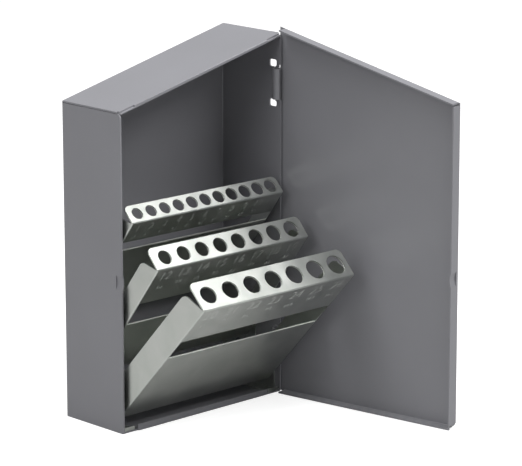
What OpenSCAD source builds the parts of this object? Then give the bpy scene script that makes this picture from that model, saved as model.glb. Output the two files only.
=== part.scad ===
// Drill bit case: a sheet metal box with a hook hinged lid and three tilting drill racks.
// Frame: X runs from the latch side to the hinge side, Y from the open front to the back,
// Z is up. The origin is the middle of the underside. It is drawn as photographed, racks out.

/* [Case] */
// Outer width, latch side to hinge side
case_w = 111; // [105:0.5:125]
// Outer depth, open front to back panel
case_d = 45; // [43:0.5:60]
// Outer height at the latch side
latch_h = 166.2; // [160:0.2:190]
// Outer height at the hinge side
hinge_h = 193.2; // [180:0.2:215]
// Thickness of the painted sheet
sheet = 0.8; // [0.7:0.05:0.9]
// Height of the upturned lip along the bottom front edge
lip_h = 3.3; // [2.5:0.1:4]
// How far the lip and the hem stop short of each side
corner_gap = 10; // [8:0.5:14]
// Depth of the folded hem under the top front edge
hem_d = 5; // [3:0.5:8]
// Width of the seams where the side walls meet the top
seam_w = 0.35; // [0.2:0.05:0.5]
// Corner radius of the side walls at their top front corners
wall_r = 2.5; // [1.5:0.25:4]

/* [Lid] */
// How far the lid is swung open from shut, in degrees
lid_angle = 99; // [92:0.2:118]
// Width of the lid panel from the hinge line to the latch edge
lid_w = 112.2; // [106:0.1:126]
// How far the lid stands above the case at the top
lid_rise = 3.4; // [1.2:0.1:3.8]
// Height of the lid's lower edge above the table
lid_foot = 0.3; // [0.3:0.05:1]
// Depth of the flange round the lid
flange_d = 6.5; // [5:0.1:8]
// Distance from the hinge line to where the top and bottom flanges start
flange_start = 3.6; // [3.2:0.1:8]
// Leg of the cut corner where the flanges meet at the bottom
corner_cut = 2; // [1:0.25:3]

/* [Hinges] */
// Distance from the case's top or bottom edge to the nearer end of a tongue
hinge_inset = 18.7; // [16:0.1:22]
// Height of the curled tongue on the lid
tongue_h = 16.2; // [12:0.2:18]
// Free height above and below a tongue in the wall
tongue_ease = 0.5; // [0.4:0.1:1]
// Free space behind a curl in the wall
curl_room = 0.4; // [0.3:0.05:0.6]
// Width of the wall strip that the lid hooks round
strip_w = 3.6; // [2.6:0.1:3.6]
// Distance from the wall's front edge to the two openings at the upper hinge
end_in = 3; // [2.6:0.1:3.4]
// Front to back width of those openings
end_w = 5.2; // [4:0.1:6]
// Height of those openings
end_h = 3.8; // [3:0.1:4.2]
// Corner radius of those openings
end_r = 1; // [0.5:0.1:1.2]
// Height of the relief notch at the top of each strip
relief_h = 1.4; // [1:0.1:2]
// Depth of that notch from the wall's front edge
relief_d = 1.5; // [0.8:0.1:1.6]
// Space between the strip's corners and the inside of the curl
curl_gap = 0.08; // [0.05:0.01:0.1]
// How far the curl wraps, in degrees
curl_wrap = 236; // [215:1:245]

/* [Latch] */
// Height of the snap dimples above the table
snap_z = 79; // [70:1:100]
// Height of a snap dimple
snap_h = 8; // [6:0.5:14]
// Length of a snap dimple from front to back
snap_l = 4.5; // [3:0.25:6]
// How far a dimple is pressed in
snap_d = 0.7; // [0.4:0.1:0.9]

/* [Racks] */
// Thickness of the plated rack sheet
plate = 0.8; // [0.7:0.05:0.9]
// Side gap between a rack and the latch side wall, room for its bracket
side_gap = 1.6; // [1.5:0.1:2]
// Side gap between a rack and the hinge side wall, room for the curls
hinge_gap = 3.5; // [3.4:0.1:4.4]
// How far the racks are tilted out of the case: front, middle and back rack
rack_tilts = [43, 37, 37];
// Front face of each rack when shut, measured from the case front
face_ys = [2.5, 19.4, 32.3];
// Height of each rack's pivot above the table
pivot_zs = [11.4, 32.4, 60.7];
// Length of each rack's face above its pivot
face_hs = [90.4, 74, 64.6];
// Depth of each rack's top bar
bar_ds = [16.4, 12.8, 10.2];
// How far each bar is bent up beyond square, in degrees
bar_rises = [3, 12, 9.5];
// Height of the marked strip under each bar
strip_hs = [26.5, 25, 14.5];
// Distance from each bar's top down to its tray's upper edge
tray_drops = [41, 41, 21];
// Corner radius at the back of each bar
bar_r = 3; // [2:0.25:4]
// Distance from a pivot to the rack's front face
pivot_in = 3; // [2.6:0.1:3.5]
// Distance from a pivot down to the rack's floor
floor_drop = 4.6; // [4:0.1:5.2]
// Outer radius of the bend between a tray's front and its floor
bend_r = 2.2; // [1.6:0.1:2.6]
// How far a cheek stops short of the back of its bar
cheek_back = 1.6; // [1:0.1:2.5]
// How far a cheek's top edge falls away from its bar towards the back
cheek_drop = 3.4; // [2:0.1:4]
// Depth of the stiffening lip bent back under each strip
strip_lips = [0, 2.4, 0];

/* [Drill holes] */
// Number of holes in each rack: T to Z, L to S and A to K
hole_counts = [7, 8, 11];
// Smallest drill of each rack
first_drills = [9.1, 7.4, 5.94];
// Largest drill of each rack
last_drills = [10.5, 8.8, 7.14];
// Distance between hole centres on each rack
hole_pitches = [14.7, 12.5, 9.2];
// Space round a drill in its hole, on the diameter
drill_clearance = 0.6; // [0.4:0.1:0.8]

/* [Pivots] */
// Diameter of the pivot rivets
rivet_d = 2.4; // [2:0.1:2.6]
// Running clearance of a rivet in its cheek, on the radius
run_gap = 0.06; // [0.04:0.01:0.1]
// Diameter of the rivet heads
rivet_head_d = 3.7; // [3.3:0.1:3.8]
// Height of the rivet heads
rivet_head_h = 1; // [0.8:0.1:1.3]
// Free space on each side of a cheek along its rivet
end_play = 0.3; // [0.2:0.05:0.35]

/* [Brackets] */
// Thickness of the bracket sheet
bracket_t = 0.8; // [0.7:0.05:0.9]
// Metal round each pivot in a bracket
bracket_land = 4; // [3.6:0.1:4.4]
// Width of the foot that lies on the case floor
foot_w = 7.6; // [6:0.2:10]
// Length of the foot from front to back
foot_l = 30; // [20:1:36]
// Height of the foot's turned up front end
foot_h = 2; // [1.4:0.1:3]
// Diameter of the rivet that holds each bracket to its wall
fix_d = 3.2; // [2.6:0.1:4]
// Height of that rivet's head inside the bracket
fix_head = 0.5; // [0.4:0.05:0.5]
// Distance from the case front to that rivet
fix_in = 31; // [24:0.5:38]
// Height of that rivet above the table
fix_z = 21; // [16:0.5:26]

/* [Hidden] */
$fn = 48;
EPS = 0.02;
PAINT = "#808084";
ZINC = "#c4c6c4";

// Planes of the case
left_x = -case_w/2;
right_x = case_w/2;
front_y = -case_d/2;
back_y = case_d/2;
slope = atan((hinge_h - latch_h)/case_w);
function top_z(x) = latch_h + (x - left_x)*(hinge_h - latch_h)/case_w;

// Hinge line: the middle of the wall strip, which is set in by one sheet
strip_x = right_x - 1.5*sheet;
strip_y = front_y + strip_w/2;
curl_ri = norm([sheet/2, strip_w/2]) + curl_gap;
curl_ro = curl_ri + sheet;
hinge_zs = [hinge_inset, hinge_h - hinge_inset - tongue_h];

fix_y = front_y + fix_in;

// Racks
rack_x0 = left_x + sheet + side_gap;
rack_x1 = right_x - sheet - hinge_gap;
rack_mid = (rack_x0 + rack_x1)/2;
function face_y(i) = front_y + face_ys[i];
function pivot_y(i) = face_y(i) + pivot_in;
function cheek_d(i) = bar_ds[i] - cheek_back;
function hole_pitch(i) = min(hole_pitches[i],
    (rack_x1 - rack_x0 - last_drills[i] - 1.5*bar_r)/(hole_counts[i] - 1));
function hole_x(i, j) = rack_mid + (j - (hole_counts[i] - 1)/2)*hole_pitch(i);
function hole_d(i, j) = drill_clearance + first_drills[i]
    + (last_drills[i] - first_drills[i])*j/(hole_counts[i] - 1);
function arc(cx, cy, r, a0, a1, n) =
    [for (k = [0:n]) [cx + r*cos(a0 + (a1 - a0)*k/n), cy + r*sin(a0 + (a1 - a0)*k/n)]];

// A block from one corner to the other
module block(a, b) { translate(a) cube(b - a); }

// A slab between two X and two Y planes whose top follows the sloping roof, lowered by drop
module roofed(x0, x1, y0, y1, z0, drop = 0) {
    translate([0, y1, 0]) rotate([90, 0, 0]) linear_extrude(y1 - y0)
        polygon([[x0, z0], [x1, z0], [x1, top_z(x1) - drop], [x0, top_z(x0) - drop]]);
}

// A strip just under the roof, from one depth below it to another
module under_roof(x0, x1, y0, y1, high, low) {
    translate([0, y1, 0]) rotate([90, 0, 0]) linear_extrude(y1 - y0)
        polygon([[x0, top_z(x0) - low], [x1, top_z(x1) - low],
            [x1, top_z(x1) - high], [x0, top_z(x0) - high]]);
}

// An outline in Y and Z pushed along X
module along_x(x0, x1) {
    translate([x0, 0, 0]) rotate([90, 0, 90]) linear_extrude(x1 - x0) children();
}

// Case

// Rounds off the top front corner of a side wall at height z
module corner_trim(x0, z) {
    along_x(x0 - EPS, x0 + sheet + EPS)
        polygon(concat([[front_y - 1, z + 1], [front_y - 1, z - wall_r]],
            arc(front_y + wall_r, z - wall_r, wall_r, 180, 90, 8),
            [[front_y + wall_r, z + 1]]));
}

// A snap dimple: a shallow round channel along Y, pressed from the outer face at x towards
// side, and grown by a sheet for the metal that it pushes in
module snap_channel(x, y, side, grow) {
    r = (snap_h*snap_h/4 + snap_d*snap_d)/(2*snap_d);
    translate([x + side*(snap_d - r), y, snap_z]) rotate([-90, 0, 0])
        cylinder(r = r + grow, h = snap_l, $fn = 180);
}
module snap_bulge(x, y, side) {
    intersection() {
        snap_channel(x, y, side, sheet);
        block([min(x + side*EPS, x + side*3), y - 1, snap_z - snap_h],
            [max(x + side*EPS, x + side*3), y + snap_l + 1, snap_z + snap_h]);
    }
}

// One hinge in the wall: a cut that the tongue passes, with an opening at each end if asked
module end_opening() {
    polygon(concat(arc(end_w - end_r, end_r, end_r, -90, 0, 6),
        arc(end_w - end_r, end_h - end_r, end_r, 0, 90, 6),
        arc(end_r, end_h - end_r, end_r, 90, 180, 6), [[0, -EPS], [end_w - end_r, -EPS]]));
}
module relief_notch(z) {
    block([strip_x - sheet, front_y - 1, z + tongue_h + EPS],
        [right_x + 1, front_y + relief_d, z + tongue_h + tongue_ease + relief_h]);
}
module hinge_cut(z, ends) {
    along_x(right_x - sheet - EPS, right_x + EPS) {
        translate([front_y - 1, z - tongue_ease])
            square([1 + strip_w/2 + curl_ro + curl_room, tongue_h + 2*tongue_ease]);
        if (ends) {
            translate([front_y + end_in, z + tongue_h + tongue_ease]) end_opening();
            translate([front_y + end_in, z - tongue_ease]) mirror([0, 1]) end_opening();
        }
    }
}

// The strip that the tongue hooks round, set in by one sheet
module hinge_strip(z, ends) {
    low = z - tongue_ease;
    high = z + tongue_h + tongue_ease;
    difference() {
        union() {
            block([strip_x - sheet/2, front_y, low], [strip_x + sheet/2, front_y + strip_w, high]);
            block([strip_x - sheet/2, front_y, low - sheet],
                [strip_x + sheet/2, front_y + (ends ? end_in : strip_w), high + sheet]);
        }
        relief_notch(z);
    }
}

// Hole for a bracket's rivet, in a wall or a bracket that starts at x
module fix_hole(x) {
    translate([x - 1, fix_y, fix_z]) rotate([0, 90, 0]) cylinder(d = fix_d, h = 3);
}

module case_shell() {
    color(PAINT) {
        difference() {
            roofed(left_x, right_x, front_y, back_y, 0);
            translate([0, -EPS, 0]) snap_channel(left_x, front_y, 1, 0);
            roofed(left_x + sheet, right_x - sheet, front_y - 1, back_y - sheet, sheet, sheet);
            // Seams between the side walls and the top
            for (x = [left_x - 1, right_x - 0.55*sheet])
                under_roof(x, x + 1 + 0.55*sheet, front_y - 1, back_y - sheet, sheet,
                    sheet + seam_w);
            // The top and the bottom stop short of the front at the corners
            for (x = [left_x - 1, right_x - corner_gap]) {
                under_roof(x, x + corner_gap + 1, front_y - 1, front_y + 1.5*sheet, -1,
                    sheet + EPS);
                block([x, front_y - 1, -1], [x + corner_gap + 1, front_y + sheet, sheet]);
            }
            corner_trim(left_x, top_z(left_x) - sheet);
            corner_trim(right_x - sheet, top_z(right_x) - sheet);
            for (k = [0, 1]) {
                hinge_cut(hinge_zs[k], k == 1);
                relief_notch(hinge_zs[k]);
            }
            fix_hole(left_x);
            fix_hole(right_x - sheet);
        }
        // Tabs of the side walls under the top, and the hem along its front edge
        under_roof(left_x + sheet - EPS, left_x + corner_gap + 2, front_y, back_y - sheet,
            sheet - EPS, 2*sheet);
        under_roof(right_x - corner_gap - 2, right_x - sheet + EPS, front_y, back_y - sheet,
            sheet - EPS, 2*sheet);
        under_roof(left_x + corner_gap, right_x - corner_gap, front_y, front_y + hem_d,
            sheet - EPS, 2*sheet);
        // Upturned lip along the bottom
        block([left_x + corner_gap, front_y, sheet - EPS],
            [right_x - corner_gap, front_y + sheet, lip_h]);
        for (k = [0, 1]) hinge_strip(hinge_zs[k], k == 1);
        difference() {
            snap_bulge(left_x, front_y, 1);
            translate([0, -EPS, 0]) snap_channel(left_x, front_y, 1, 0);
        }
    }
}

// Lid, drawn shut and then swung open about the hinge line

panel_y = strip_y - curl_ro;
lid_x0 = strip_x - lid_w;
lid_x1 = strip_x - 0.3;
lid_snap_y = panel_y + flange_d - snap_l;
function lid_top(x) = top_z(x) + lid_rise;

module lid_slab(x0, x1, y0, y1) {
    translate([0, y1, 0]) rotate([90, 0, 0]) linear_extrude(y1 - y0)
        polygon([[x0, lid_foot], [x1, lid_foot], [x1, lid_top(x1)], [x0, lid_top(x0)]]);
}

module lid_curl(z) {
    translate([strip_x, strip_y, z]) {
        rotate([0, 0, -90]) rotate_extrude(angle = curl_wrap)
            translate([curl_ri, 0]) square([sheet, tongue_h]);
        block([-0.3 - EPS, -curl_ro, 0], [0, -curl_ri, tongue_h]);
    }
}

module lid_shut() {
    difference() {
        lid_slab(lid_x0, lid_x1, panel_y, panel_y + flange_d);
        // Inside of the pan
        translate([0, panel_y + flange_d + 1, 0]) rotate([90, 0, 0])
            linear_extrude(flange_d + 1 - sheet)
                polygon([[lid_x0 + sheet, lid_foot + sheet], [lid_x1 + 1, lid_foot + sheet],
                    [lid_x1 + 1, lid_top(lid_x1 + 1) - sheet],
                    [lid_x0 + sheet, lid_top(lid_x0 + sheet) - sheet]]);
        // Flanges cut back beside the hinge line
        block([strip_x - flange_start, panel_y + sheet, -1],
            [right_x + 5, panel_y + flange_d + 1, hinge_h + lid_rise + 5]);
        // Cut lower latch corner, and slits where the flanges meet
        translate([lid_x0, panel_y - 1, lid_foot]) rotate([0, 45, 0])
            block([-corner_cut, 0, -corner_cut], [corner_cut, flange_d + 3, corner_cut]/sqrt(2));
        block([lid_x0 - 1, panel_y + sheet + 0.4, lid_top(lid_x0) - 1.6*sheet],
            [lid_x0 + sheet + EPS, panel_y + flange_d + 1, lid_top(lid_x0) + 1]);
        translate([0, EPS, 0]) snap_channel(lid_x0, lid_snap_y, 1, 0);
    }
    difference() {
        snap_bulge(lid_x0, lid_snap_y, 1);
        translate([0, EPS, 0]) snap_channel(lid_x0, lid_snap_y, 1, 0);
    }
    for (z = hinge_zs) lid_curl(z);
}

module lid() {
    color(PAINT) translate([strip_x, strip_y, 0]) rotate([0, 0, lid_angle])
        translate([-strip_x, -strip_y, 0]) lid_shut();
}

// Racks, each drawn upright round its pivot and then tilted

module tilted(i) {
    translate([0, pivot_y(i), pivot_zs[i]]) rotate([rack_tilts[i], 0, 0]) children();
}

// Outline in Y and Z of a strip and its bar, bent from one sheet, the bar drawn too long
function under_z(i) = plate*((1 - sin(bar_rises[i]))*tan(bar_rises[i]) - cos(bar_rises[i]));
module fold_outline(i) {
    y = -pivot_in;
    z = face_hs[i];
    c = cos(bar_rises[i]);
    s = sin(bar_rises[i]);
    d = bar_ds[i] + 2;
    polygon([[y, z - strip_hs[i]], [y, z], [y + d*c, z + d*s],
        [y + d*c + plate*s, z + d*s - plate*c],
        [y + plate, z + under_z(i)], [y + plate, z - strip_hs[i]]]);
}

// What is cut off behind a bar's back edge and its round corners, seen from above
module bar_trim(i) {
    b = bar_ds[i];
    polygon(concat([[rack_x0 - 1, b + 3], [rack_x0 - 1, b - bar_r]],
        arc(rack_x0 + bar_r, b - bar_r, bar_r, 180, 90, 8),
        arc(rack_x1 - bar_r, b - bar_r, bar_r, 90, 0, 8),
        [[rack_x1 + 1, b - bar_r], [rack_x1 + 1, b + 3]]));
}

// Puts the top face of a bar, drawn flat from its front edge, where it is on the rack
module on_bar(i) {
    translate([0, -pivot_in, face_hs[i]]) rotate([bar_rises[i], 0, 0]) children();
}

// Outline of a cheek in Y and Z: round top back corner, round foot about the pivot
module cheek_outline(i) {
    y0 = -pivot_in;
    y1 = y0 + cheek_d(i);
    z1 = face_hs[i] + under_z(i);
    r = cheek_d(i)/3;
    polygon(concat([[y0, z1], [y0, -floor_drop + bend_r]],
        arc(y0 + bend_r, -floor_drop + bend_r, bend_r, 180, 270, 6),
        arc(y1 - r, -floor_drop + r, r, 270, 360, 6),
        arc(y1 - r, z1 - cheek_drop - r, r, 0, 70, 8), [[y0 + plate, z1]]));
}

// Stiffening lip, bent back at 45 degrees from the strip's lower edge
module strip_lip(i, z, d) {
    y = -pivot_in;
    s = d/sqrt(2);
    c = plate/sqrt(2);
    along_x(rack_x0 + plate, rack_x1 - plate)
        polygon([[y, z], [y + s, z - s], [y + s + c, z - s + c], [y + plate, z + EPS]]);
}

module rack(i) {
    color(ZINC) tilted(i) {
        difference() {
            union() {
                along_x(rack_x0, rack_x1) fold_outline(i);
                if (strip_lips[i] > 0) strip_lip(i, face_hs[i] - strip_hs[i], strip_lips[i]);
                for (x = [rack_x0, rack_x1 - plate])
                    along_x(x, x + plate) cheek_outline(i);
            }
            on_bar(i) translate([0, 0, -3*plate]) linear_extrude(6*plate) bar_trim(i);
            for (j = [0:hole_counts[i] - 1])
                on_bar(i) translate([hole_x(i, j), bar_ds[i]/2, -2*plate])
                    cylinder(d = hole_d(i, j), h = 4*plate);
            rotate([0, 90, 0]) translate([0, 0, rack_x0 - 1])
                cylinder(d = rivet_d + 2*run_gap, h = rack_x1 - rack_x0 + 2);
        }
    }
}

// Tray: the lower front plate and the floor that the drills stand on, bent from one sheet
module tray(i) {
    y0 = -pivot_in;
    y1 = y0 + cheek_d(i);
    z0 = -floor_drop;
    c = bend_r;
    color(ZINC) tilted(i) along_x(rack_x0 + plate, rack_x1 - plate)
        polygon(concat([[y0, face_hs[i] - tray_drops[i]]],
            arc(y0 + c, z0 + c, c, 180, 270, 6),
            [[y1, z0], [y1, z0 + plate]],
            arc(y0 + c, z0 + c, c - plate, 270, 180, 6),
            [[y0 + plate, face_hs[i] - tray_drops[i]]]));
}

module front_rack() { rack(0); }
module middle_rack() { rack(1); }
module back_rack() { rack(2); }
module front_tray() { tray(0); }
module middle_tray() { tray(1); }
module back_tray() { tray(2); }

// Brackets: a stepped plate on each side wall with a foot on the case floor

// Outline in Y and Z that gives each pivot its land, stepping up towards the back
module bracket_outline() {
    y0 = front_y + strip_w + 0.3;
    y3 = back_y - sheet - 0.3;
    z = [for (i = [0:2]) pivot_zs[i] + bracket_land];
    y = [for (i = [1:2]) pivot_y(i) - bracket_land];
    polygon([[y0, sheet], [y0, z[0]], [y[0], z[0]], [y[0], z[1]], [y[1], z[1]],
        [y[1], z[2]], [y3, z[2]], [y3, sheet]]);
}

module bracket(x0, side) {
    x1 = x0 + side*bracket_t;
    foot_x = x0 + side*foot_w;
    difference() {
        union() {
            along_x(min(x0, x1), max(x0, x1)) bracket_outline();
            block([min(x0, foot_x), front_y + 1, sheet],
                [max(x0, foot_x), front_y + 1 + foot_l, sheet + bracket_t]);
            block([min(x1, foot_x), front_y + 1, sheet],
                [max(x1, foot_x), front_y + 1 + bracket_t, sheet + foot_h]);
        }
        for (i = [0:2]) translate([min(x0, x1) - 1, pivot_y(i), pivot_zs[i]])
            rotate([0, 90, 0]) cylinder(d = rivet_d, h = bracket_t + 2);
        fix_hole(min(x0, x1));
    }
}

module left_bracket() { color(ZINC) bracket(left_x + sheet, 1); }
module right_bracket() { color(ZINC) bracket(right_x - sheet, -1); }

// Pivot rivets: the shank is headed over inside the rack and is flush in the bracket
module pivot_rivet(i, wall_x, cheek_x, side) {
    inner = cheek_x + side*(plate + end_play);
    translate([wall_x, pivot_y(i), pivot_zs[i]]) rotate([0, side*90, 0])
        cylinder(d = rivet_d, h = abs(inner - wall_x) + rivet_head_h);
    translate([inner, pivot_y(i), pivot_zs[i]]) rotate([0, side*90, 0])
        cylinder(d1 = rivet_head_d, d2 = 0.7*rivet_head_d, h = rivet_head_h);
    // Spacer shoulder between the bracket and the cheek
    shoulder = wall_x + side*bracket_t;
    translate([shoulder, pivot_y(i), pivot_zs[i]]) rotate([0, side*90, 0])
        cylinder(d = rivet_head_d, h = abs(cheek_x - shoulder) - end_play);
}

module pivot_rivets(i) {
    color(ZINC) {
        pivot_rivet(i, left_x + sheet, rack_x0, 1);
        pivot_rivet(i, right_x - sheet, rack_x1, -1);
    }
}

module front_pivot_rivets() { pivot_rivets(0); }
module middle_pivot_rivets() { pivot_rivets(1); }
module back_pivot_rivets() { pivot_rivets(2); }

// Rivets that hold the brackets, flush with the outside of the side walls
module bracket_rivet(x, side) {
    translate([x, fix_y, fix_z]) rotate([0, side*90, 0]) {
        cylinder(d = fix_d, h = sheet + bracket_t);
        translate([0, 0, sheet + bracket_t]) cylinder(d1 = 1.8*fix_d, d2 = fix_d, h = fix_head);
    }
}

module bracket_rivets() {
    color(PAINT) {
        bracket_rivet(left_x, 1);
        bracket_rivet(right_x, -1);
    }
}

case_shell();
lid();
left_bracket();
right_bracket();
front_rack();
middle_rack();
back_rack();
front_tray();
middle_tray();
back_tray();
front_pivot_rivets();
middle_pivot_rivets();
back_pivot_rivets();
bracket_rivets();
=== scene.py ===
import math

import bmesh
import bpy
from mathutils import Matrix, Vector


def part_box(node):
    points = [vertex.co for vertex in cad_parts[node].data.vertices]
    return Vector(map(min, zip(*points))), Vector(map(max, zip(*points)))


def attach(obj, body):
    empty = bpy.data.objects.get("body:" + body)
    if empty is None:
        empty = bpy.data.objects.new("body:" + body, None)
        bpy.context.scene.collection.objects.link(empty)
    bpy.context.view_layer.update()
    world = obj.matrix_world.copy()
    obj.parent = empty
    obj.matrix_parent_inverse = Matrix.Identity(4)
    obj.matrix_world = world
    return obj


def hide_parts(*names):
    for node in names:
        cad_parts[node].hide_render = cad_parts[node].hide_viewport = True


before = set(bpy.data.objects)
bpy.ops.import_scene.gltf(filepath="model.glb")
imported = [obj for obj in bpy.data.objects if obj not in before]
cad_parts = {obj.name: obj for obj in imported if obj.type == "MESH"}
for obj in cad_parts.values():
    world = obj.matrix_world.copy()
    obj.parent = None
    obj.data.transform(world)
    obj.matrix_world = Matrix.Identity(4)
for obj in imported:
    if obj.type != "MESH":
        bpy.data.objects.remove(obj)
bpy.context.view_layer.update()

MM = 0.001


# The painted case: a folded sheet steel box with an open front and a roof that
# slopes up to the hinge side. It is pressed and bent from one gauge of sheet,
# degreased and dipped in grey machine enamel, so every bend is softly rounded.

def colour(hex_value):
    """An sRGB hex value as linear red, green, blue and alpha."""
    parts = [int(hex_value[k:k + 2], 16) / 255 for k in (1, 3, 5)]
    return [c / 12.92 if c <= 0.04045 else ((c + 0.055) / 1.055) ** 2.4 for c in parts] + [1.0]


def node(tree, kind, settings=None, **links):
    """Adds a node. Each link is an input's name, or its number after a low line, with its
    value or the socket that feeds it."""
    made = tree.nodes.new(kind)
    for key, value in (settings or {}).items():
        setattr(made, key, value)
    for name, value in links.items():
        key = int(name[1:]) if name[0] == "_" else name.replace("_", " ")
        socket = made.inputs[key]
        if isinstance(value, bpy.types.NodeSocket):
            tree.links.new(value, socket)
        else:
            socket.default_value = value
    return made


def new_material(name):
    """An empty node material and its tree, with the shader's output node."""
    material = bpy.data.materials.new(name)
    material.use_nodes = True
    tree = material.node_tree
    tree.nodes.clear()
    return material, tree, tree.nodes.new("ShaderNodeOutputMaterial")


def grey_enamel():
    """Dipped machine enamel on steel: even mid grey, half gloss, with a faint orange peel
    of about 1.5 mm and slow cloudy changes of gloss where the coat ran thicker."""
    material, tree, output = new_material("grey_machine_enamel")
    place = tree.nodes.new("ShaderNodeTexCoord").outputs["Object"]
    peel_mm, cloud_mm = 1.5, 45
    peel = node(tree, "ShaderNodeTexNoise", Vector=place, Scale=1 / (peel_mm * MM), Detail=2.0)
    cloud = node(tree, "ShaderNodeTexNoise", Vector=place, Scale=1 / (cloud_mm * MM), Detail=3.0)
    tint = node(tree, "ShaderNodeMix", {"data_type": "RGBA"}, _0=cloud.outputs["Fac"],
                _6=colour("#7b7b7f"), _7=colour("#838388"))
    gloss = node(tree, "ShaderNodeMapRange", Value=cloud.outputs["Fac"],
                 To_Min=0.26, To_Max=0.34)
    bump = node(tree, "ShaderNodeBump", Height=peel.outputs["Fac"], Strength=0.12,
                Distance=0.03 * MM)
    coat = node(tree, "ShaderNodeBsdfPrincipled", Base_Color=tint.outputs[2],
                Roughness=gloss.outputs[0], Normal=bump.outputs[0], IOR=1.5)
    tree.links.new(coat.outputs[0], output.inputs[0])
    return material


def on_line(vertex, point, direction, reach=0.03 * MM):
    """True if a vertex lies on the line through a point."""
    off = vertex.co - point
    return (off - direction * off.dot(direction)).length < reach


def even_normals(work, rounded):
    """Corner normals: a flat face keeps its own right to its edges, and the strips of a bend
    or an eased edge turn evenly from one flat face to the next, as on pressed sheet."""
    same_plane, next_strip, same_side = 0.99995, 0.86, 0.64
    large_face = 150 * MM * MM
    work.normal_update()
    region, areas, near = {}, [], []
    for start in work.faces:
        if start in region:
            continue
        number, waiting = len(areas), [start]
        region[start] = number
        areas.append(0.0)
        near.append(False)
        while waiting:
            face = waiting.pop()
            areas[number] += face.calc_area()
            for edge in face.edges:
                for other in edge.link_faces:
                    if other is face or other[rounded] != face[rounded]:
                        continue
                    facing = other.normal.dot(start.normal)
                    if facing > same_plane:
                        if other not in region:
                            region[other] = number
                            waiting.append(other)
                    elif facing > next_strip:
                        near[number] = True
    flat = {f for f, k in region.items()
            if not f[rounded] and (areas[k] > large_face or not near[k])}
    normals = []
    for face in work.faces:
        for corner in face.loops:
            if face in flat:
                normals.append(face.normal.copy())
                continue
            beside = [f for f in corner.vert.link_faces
                      if f.normal.dot(face.normal) > same_side]
            level = [f for f in beside if f in flat]
            if level:
                normals.append(max(level, key=lambda f: f.normal.dot(face.normal)).normal.copy())
            else:
                total = Vector((0, 0, 0))
                for f in beside:
                    total += f.normal * f.calc_area()
                normals.append(total.normalized() if total.length else face.normal.copy())
    return normals


def dressed(name, body, material, bends=(), eased=0.1 * MM):
    """A copy of a CAD node in its finish: bends are (point, direction, radius) lines whose edges
    are rounded as a bend is, and every other sharp edge is eased as a deburred cut is."""
    weld, level_angle, sharp_angle = 0.004 * MM, math.radians(0.6), math.radians(35)
    mesh = bpy.data.meshes.new(name + "_finished")
    work = bmesh.new()
    work.from_mesh(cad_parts[name].data)
    rounded = work.faces.layers.int.new("rounded")
    bmesh.ops.remove_doubles(work, verts=work.verts, dist=weld)
    bmesh.ops.dissolve_limit(work, angle_limit=level_angle, verts=work.verts, edges=work.edges)
    bmesh.ops.triangulate(work, faces=work.faces, ngon_method="BEAUTY")
    for radius in sorted({bend[2] for bend in bends}, reverse=True):
        lines = [(Vector(p), Vector(d).normalized()) for p, d, r in bends if r == radius]
        edges = [e for e in work.edges
                 if any(all(on_line(v, p, d) for v in e.verts) for p, d in lines)]
        if edges:
            made = bmesh.ops.bevel(work, geom=edges, offset=radius, segments=5, profile=0.5,
                                   affect="EDGES", clamp_overlap=True)
            for face in made["faces"]:
                face[rounded] = 1
    work.normal_update()
    sharp = [e for e in work.edges
             if len(e.link_faces) == 2 and e.calc_face_angle(0) > sharp_angle]
    made = bmesh.ops.bevel(work, geom=sharp, offset=eased, segments=2, profile=0.5,
                           affect="EDGES", clamp_overlap=True)
    for face in made["faces"]:
        face[rounded] = 1
    bmesh.ops.triangulate(work, faces=work.faces, ngon_method="BEAUTY")
    normals = even_normals(work, rounded)
    work.to_mesh(mesh)
    work.free()
    mesh.materials.clear()
    mesh.materials.append(material)
    for polygon in mesh.polygons:
        polygon.use_smooth = True
        polygon.material_index = 0
    mesh.normals_split_custom_set(normals)
    piece = bpy.data.objects.new(name + "_finished", mesh)
    bpy.context.scene.collection.objects.link(piece)
    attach(piece, body)
    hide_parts(name)
    return piece


enamel = grey_enamel()
shell_low, shell_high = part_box("case_shell")
latch_x, hinge_x = shell_low[0], shell_high[0]
front_y, back_y = shell_low[1], shell_high[1]
foot_z, peak_z = shell_low[2], shell_high[2]
roof_angle = 13.67
rise = math.tan(math.radians(roof_angle))
eaves_z = peak_z - (hinge_x - latch_x) * rise
roof_line = (1, 0, rise)
sheet = 0.8 * MM


def bend_pair(point, direction, inward, radius):
    """The outer and the inner line of one bend in a sheet. inward goes from the outer corner
    line to the inner one, one sheet in each direction."""
    return [(tuple(point), direction, radius),
            (tuple(Vector(point) + Vector(inward)), direction, max(radius - sheet, 0.25 * MM))]


back_bend, lip_bend, hem_bend = 1.4 * MM, 0.9 * MM, 0.5 * MM
case_bends = bend_pair((latch_x, back_y, 0), (0, 0, 1), (sheet, -sheet, 0), back_bend)
case_bends += bend_pair((hinge_x, back_y, 0), (0, 0, 1), (-sheet, -sheet, 0), back_bend)
case_bends += [((hinge_x, back_y, peak_z), roof_line, back_bend)]
case_bends += bend_pair((0, back_y, foot_z), (1, 0, 0), (0, -sheet, sheet), back_bend)
case_bends += bend_pair((0, front_y, foot_z), (1, 0, 0), (0, sheet, sheet), lip_bend)
case_bends += bend_pair((hinge_x, front_y, peak_z), roof_line, (0, 0, -2 * sheet), hem_bend)
dressed("case_shell", "case", enamel, case_bends)


# The lid: a shallow pan of the same enamelled sheet, flanged on three sides,
# with two tongues curled round strips of the case's side wall as hinges.

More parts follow.
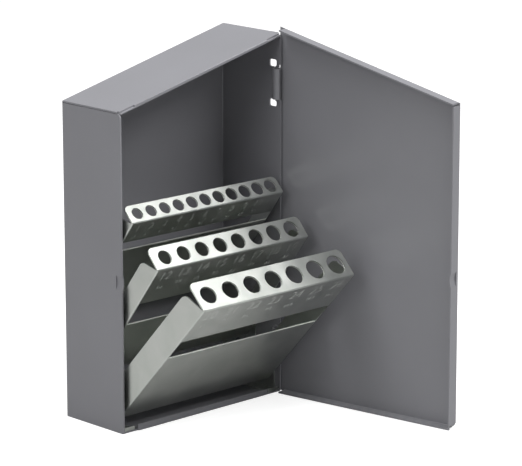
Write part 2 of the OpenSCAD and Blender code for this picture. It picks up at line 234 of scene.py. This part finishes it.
lid_angle, lid_width, lid_rise, lid_foot = 99, 112.2 * MM, 3.4 * MM, 0.3 * MM
half_strip, curl_radius, lid_bend = 1.8 * MM, 2.724 * MM, 1.1 * MM
hook = Vector((hinge_x - 1.5 * sheet, front_y + half_strip, 0))
swing = Matrix.Translation(hook) @ Matrix.Rotation(math.radians(lid_angle), 4, "Z") \
    @ Matrix.Translation(-hook)
turn = swing.to_3x3()
panel_y = hook.y - curl_radius
edge_x = hook.x - lid_width
lid_peak = eaves_z + lid_rise + (edge_x - latch_x) * rise
lid_bends = []
for point, direction, inward in (
        ((edge_x, panel_y, 0), (0, 0, 1), (sheet, sheet, 0)),
        ((edge_x, panel_y, lid_peak), (1, 0, rise), (0, sheet, -sheet)),
        ((edge_x, panel_y, lid_foot), (1, 0, 0), (0, sheet, sheet))):
    lid_bends += bend_pair(swing @ Vector(point), turn @ Vector(direction),
                           turn @ Vector(inward), lid_bend)
dressed("lid", "lid_body", enamel, lid_bends)


# The racks: folded from zinc plated sheet, each with a drilled top bar, a marked
# strip, two cheeks and a tray. Bright zinc is grey with a slight cool sheen, and
# its rolled grain runs along the sheet.

def bright_zinc():
    """Zinc plated cold rolled steel: a satin metal with a fine rolled grain along X of about
    0.3 mm, and soft greenish grey cloudy patches of about 14 mm where the plating is duller."""
    material, tree, output = new_material("bright_zinc_plate")
    place = tree.nodes.new("ShaderNodeTexCoord").outputs["Object"]
    grain_mm, cloud_mm = 0.3, 14
    along = node(tree, "ShaderNodeMapping", {"vector_type": "POINT"}, Vector=place,
                 Scale=(0.12, 1, 1))
    grain = node(tree, "ShaderNodeTexNoise", Vector=along.outputs[0], Scale=1 / (grain_mm * MM),
                 Detail=2.0)
    cloud = node(tree, "ShaderNodeTexNoise", Vector=place, Scale=1 / (cloud_mm * MM), Detail=5.0,
                 Distortion=0.6)
    tint = node(tree, "ShaderNodeMix", {"data_type": "RGBA"}, _0=cloud.outputs["Fac"],
                _6=colour("#bcc2bb"), _7=colour("#d9dad6"))
    rough = node(tree, "ShaderNodeMapRange", Value=cloud.outputs["Fac"], To_Min=0.24, To_Max=0.4)
    bump = node(tree, "ShaderNodeBump", Height=grain.outputs["Fac"], Strength=0.05,
                Distance=0.01 * MM)
    plate = node(tree, "ShaderNodeBsdfPrincipled", Base_Color=tint.outputs[2], Metallic=1.0,
                 Roughness=rough.outputs[0], Normal=bump.outputs[0])
    tree.links.new(plate.outputs[0], output.inputs[0])
    return material


zinc = bright_zinc()
rack_low, rack_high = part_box("front_rack")
rack_left, rack_right = rack_low[0], rack_high[0]
pivot_in, plate, rack_bend = 3 * MM, 0.8 * MM, 1.1 * MM
# All in mm and degrees, front to back. number is the first hole's, big and small are the
# heights of the struck figures.
racks = {
    "front": dict(face=2.5, pivot=11.4, tall=90.4, tilt=43, deep=16.4, rise=3, strip=26.5, holes=7,
                  first=9.1, last=10.5, pitch=14.7, number=20, big=6.4, small=2.5),
    "middle": dict(face=19.4, pivot=32.4, tall=74, tilt=37, deep=12.8, rise=12, strip=25, holes=8,
                   first=7.4, last=8.8, pitch=12.5, number=12, big=6.0, small=2.4),
    "back": dict(face=32.3, pivot=60.7, tall=64.6, tilt=37, deep=10.2, rise=9.5, strip=14.5,
                 holes=11, first=5.94, last=7.14, pitch=9.2, number=1, big=4.6, small=2.0)}

for name, rack in racks.items():
    # From the upright rack, its pivot line as the origin, to where it stands tilted out
    pivot = (0, front_y + rack["face"] * MM + pivot_in, rack["pivot"] * MM)
    rack["out"] = Matrix.Translation(pivot) @ Matrix.Rotation(math.radians(rack["tilt"]), 4, "X")
    lean = rack["out"].to_3x3()
    top = rack["tall"] * MM
    # From the bar's front edge, lying flat, to where it is on the tilted rack
    rack["bar"] = rack["out"] @ Matrix.Translation((0, -pivot_in, top)) \
        @ Matrix.Rotation(math.radians(rack["rise"]), 4, "X")
    bends = [(tuple(rack["bar"].translation), (1, 0, 0), rack_bend)]
    for x, side in ((rack_left, 1), (rack_right, -1)):
        bends += bend_pair(rack["out"] @ Vector((x, -pivot_in, 0)), lean @ Vector((0, 0, 1)),
                           lean @ Vector((side * plate, plate, 0)), rack_bend)
    dressed(name + "_rack", name + "_rack_body", zinc, bends)
    dressed(name + "_tray", name + "_rack_body", zinc)


# The punched edge of every drill hole: the punch leaves a fine turned burr round
# the hole on the underside of its bar. One Geometry Nodes group makes a row of
# them, and each rack gives it its own count, pitch and drill sizes.

def burr_group():
    """Geometry Nodes: a row of rings along X whose size grows evenly from the first to the last."""
    group = bpy.data.node_groups.new("punched_burrs", "GeometryNodeTree")
    ports = {}
    for label, kind in (("Count", "NodeSocketInt"), ("Pitch", "NodeSocketFloat"),
                        ("First Radius", "NodeSocketFloat"), ("Last Radius", "NodeSocketFloat"),
                        ("Burr Radius", "NodeSocketFloat"), ("Finish", "NodeSocketMaterial")):
        port = group.interface.new_socket(label, in_out="INPUT", socket_type=kind)
        ports[label] = port.identifier
    group.interface.new_socket("Mesh", in_out="OUTPUT", socket_type="NodeSocketGeometry")
    given = group.nodes.new("NodeGroupInput").outputs
    gaps = node(group, "ShaderNodeMath", {"operation": "SUBTRACT"}, _0=given["Count"], _1=1.0)
    half = node(group, "ShaderNodeMath", {"operation": "MULTIPLY"}, _0=gaps.outputs[0], _1=-0.5)
    start_x = node(group, "ShaderNodeMath", {"operation": "MULTIPLY"}, _0=half.outputs[0],
                   _1=given["Pitch"])
    start = node(group, "ShaderNodeCombineXYZ", X=start_x.outputs[0])
    step = node(group, "ShaderNodeCombineXYZ", X=given["Pitch"])
    row = node(group, "GeometryNodeMeshLine", Count=given["Count"],
               Start_Location=start.outputs[0], Offset=step.outputs[0])
    place = node(group, "GeometryNodeInputIndex")
    along = node(group, "ShaderNodeMath", {"operation": "DIVIDE"}, _0=place.outputs[0],
                 _1=gaps.outputs[0])
    radius = node(group, "ShaderNodeMapRange", Value=along.outputs[0],
                  To_Min=given["First Radius"], To_Max=given["Last Radius"])
    ring = node(group, "GeometryNodeCurvePrimitiveCircle", Resolution=48, Radius=1.0)
    rings = node(group, "GeometryNodeInstanceOnPoints", Points=row.outputs[0],
                 Instance=ring.outputs[0], Scale=radius.outputs[0])
    real = node(group, "GeometryNodeRealizeInstances", Geometry=rings.outputs[0])
    wire = node(group, "GeometryNodeCurvePrimitiveCircle", Resolution=8,
                Radius=given["Burr Radius"])
    swept = node(group, "GeometryNodeCurveToMesh", Curve=real.outputs[0],
                 Profile_Curve=wire.outputs[0])
    finish = node(group, "GeometryNodeSetMaterial", Geometry=swept.outputs[0],
                  Material=given["Finish"])
    result = group.nodes.new("NodeGroupOutput")
    group.links.new(finish.outputs[0], result.inputs[0])
    return group, ports


burrs, burr_ports = burr_group()
drill_room, burr_round = 0.66, 0.12 * MM
for name, rack in racks.items():
    holder = bpy.data.objects.new("burr_maker", bpy.data.meshes.new("burr_maker"))
    bpy.context.scene.collection.objects.link(holder)
    maker = holder.modifiers.new("burrs", "NODES")
    maker.node_group = burrs
    for label, value in (("Count", rack["holes"]), ("Pitch", rack["pitch"] * MM),
                         ("First Radius", (rack["first"] + drill_room) / 2 * MM),
                         ("Last Radius", (rack["last"] + drill_room) / 2 * MM),
                         ("Burr Radius", burr_round), ("Finish", zinc)):
        maker[burr_ports[label]] = value
    made = bpy.data.meshes.new_from_object(holder.evaluated_get(
        bpy.context.evaluated_depsgraph_get()))
    bpy.data.objects.remove(holder)
    made.transform(rack["bar"] @ Matrix.Translation(
        ((rack_left + rack_right) / 2, rack["deep"] / 2 * MM, -plate)))
    for polygon in made.polygons:
        polygon.use_smooth = True
    burr = bpy.data.objects.new(name + "_rack_burrs", made)
    bpy.context.scene.collection.objects.link(burr)
    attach(burr, name + "_rack_body")


# The marks on the strips: plain figures struck into the plate, the hole's number
# with its drill size in mm below. The struck metal is burnished, so the figures
# catch the light where the plate round them is dark.

def struck_metal():
    """Freshly struck plate: the same metal, paler and duller where the die burnished it."""
    material, tree, output = new_material("struck_plate")
    place = tree.nodes.new("ShaderNodeTexCoord").outputs["Object"]
    wear_mm = 1.2
    wear = node(tree, "ShaderNodeTexNoise", Vector=place, Scale=1 / (wear_mm * MM), Detail=3.0)
    tint = node(tree, "ShaderNodeMix", {"data_type": "RGBA"}, _0=wear.outputs["Fac"],
                _6=colour("#c2c4c0"), _7=colour("#e6e7e4"))
    rough = node(tree, "ShaderNodeMapRange", Value=wear.outputs["Fac"], To_Min=0.45, To_Max=0.62)
    metal = node(tree, "ShaderNodeBsdfPrincipled", Base_Color=tint.outputs[2], Metallic=1.0,
                 Roughness=rough.outputs[0])
    tree.links.new(metal.outputs[0], output.inputs[0])
    return material


def figure_mesh(text, tall, proud):
    """The mesh of plain figures, flat in XY and centred on X, with their foot on the X axis."""
    curve = bpy.data.curves.new("figures", "FONT")
    curve.body, curve.align_x = text, "CENTER"
    curve.size = tall / 0.7
    curve.offset = -0.012 * tall
    curve.extrude = proud
    curve.resolution_u = 3
    holder = bpy.data.objects.new("figures", curve)
    bpy.context.scene.collection.objects.link(holder)
    made = bpy.data.meshes.new_from_object(holder.evaluated_get(
        bpy.context.evaluated_depsgraph_get()))
    bpy.data.objects.remove(holder)
    return made


struck = struck_metal()
proud, weld = 0.05 * MM, 0.001 * MM
# In mm: from the bar down to the large figures, between the two rows, the least margin at the
# strip's lower edge, and how far every other small figure is set lower
top_margin, row_gap, low_margin, stagger = 2.6, 3.2, 1.4, 1.6
for name, rack in racks.items():
    work = bmesh.new()
    for k in range(rack["holes"]):
        x = (rack_left + rack_right) / 2 + (k - (rack["holes"] - 1) / 2) * rack["pitch"] * MM
        drill = rack["first"] + (rack["last"] - rack["first"]) * k / (rack["holes"] - 1)
        lowered = stagger if k % 2 == 0 and name != "back" else 0
        high = rack["tall"] - top_margin - rack["big"]
        low = max(rack["tall"] - rack["strip"] + low_margin,
                  high - row_gap - rack["small"] - lowered)
        for text, tall, z in ((str(rack["number"] + k), rack["big"], high),
                              (f"{drill:.1f}", rack["small"], low)):
            part = figure_mesh(text, tall * MM, proud)
            part.transform(rack["out"] @ Matrix.Translation((x, -pivot_in, z * MM))
                           @ Matrix.Rotation(math.pi / 2, 4, "X"))
            work.from_mesh(part)
    bmesh.ops.remove_doubles(work, verts=work.verts, dist=weld)
    mesh = bpy.data.meshes.new(name + "_rack_figures")
    work.to_mesh(mesh)
    work.free()
    mesh.materials.append(struck)
    figures = bpy.data.objects.new(name + "_rack_figures", mesh)
    bpy.context.scene.collection.objects.link(figures)
    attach(figures, name + "_rack_body")


# Brackets and rivets: plain plated steel pieces that carry the racks. The
# rivets that hold the brackets are painted with the case.

for side in ("left", "right"):
    dressed(side + "_bracket", "case", zinc)
for name in racks:
    dressed(name + "_pivot_rivets", "case", zinc, eased=0.2 * MM)
dressed("bracket_rivets", "case", enamel)


# The floor, the lights and the camera: a pale studio floor that keeps the shadow and is
# white to the camera, three soft boxes, and the camera fitted to the photograph.

floor_mesh = bpy.data.meshes.new("floor")
floor_reach = 6.0
floor_mesh.from_pydata([(-floor_reach, -floor_reach, 0), (floor_reach, -floor_reach, 0),
                        (floor_reach, floor_reach, 0), (-floor_reach, floor_reach, 0)], [],
                       [(0, 1, 2, 3)])
floor = bpy.data.objects.new("floor", floor_mesh)
bpy.context.scene.collection.objects.link(floor)
pale, pale_tree, pale_output = new_material("pale_floor")
seen = node(pale_tree, "ShaderNodeLightPath")
paper = node(pale_tree, "ShaderNodeBsdfDiffuse", Color=colour("#b4b4b4"))
lift = node(pale_tree, "ShaderNodeMath", {"operation": "MULTIPLY"},
            _0=seen.outputs["Is Camera Ray"], _1=0.75)
glow = node(pale_tree, "ShaderNodeEmission", Color=(1, 1, 1, 1), Strength=lift.outputs[0])
both = node(pale_tree, "ShaderNodeAddShader", _0=paper.outputs[0], _1=glow.outputs[0])
pale_tree.links.new(both.outputs[0], pale_output.inputs[0])
floor_mesh.materials.append(pale)

world = bpy.data.worlds.new("studio")
bpy.context.scene.world = world
world.use_nodes = True
world.node_tree.nodes["Background"].inputs["Color"].default_value = colour("#ffffff")
world.node_tree.nodes["Background"].inputs["Strength"].default_value = 0.3


def soft_lamp(name, place, target, size, watts):
    """A square soft box at a place, turned to a target."""
    lamp = bpy.data.lights.new(name, "AREA")
    lamp.shape, lamp.size, lamp.energy = "SQUARE", size, watts
    holder = bpy.data.objects.new(name, lamp)
    holder.location = place
    holder.rotation_euler = (Vector(target) - Vector(place)).to_track_quat("-Z", "Y").to_euler()
    bpy.context.scene.collection.objects.link(holder)


middle = (0, -0.03, 0.09)
soft_lamp("overhead_softbox", (-0.2, 0.15, 1.4), middle, 1.0, 14)
soft_lamp("front_softbox", (0.35, -0.8, 1.2), middle, 0.9, 20)
soft_lamp("left_softbox", (-1.4, -0.2, 0.9), middle, 0.8, 7)

yaw, pitch = math.radians(43.66), math.radians(13.53)
camera_data = bpy.data.cameras.new("photo_camera")
camera_data.sensor_width, camera_data.lens = 36, 197.6
camera_data.clip_end = 50
camera = bpy.data.objects.new("photo_camera", camera_data)
camera.location = (-0.9635, -1.0748, 0.4392)
camera.rotation_euler = (math.pi / 2 - pitch, 0, -yaw)
bpy.context.scene.collection.objects.link(camera)
bpy.context.scene.camera = camera
bpy.context.scene.view_settings.view_transform = "Standard"
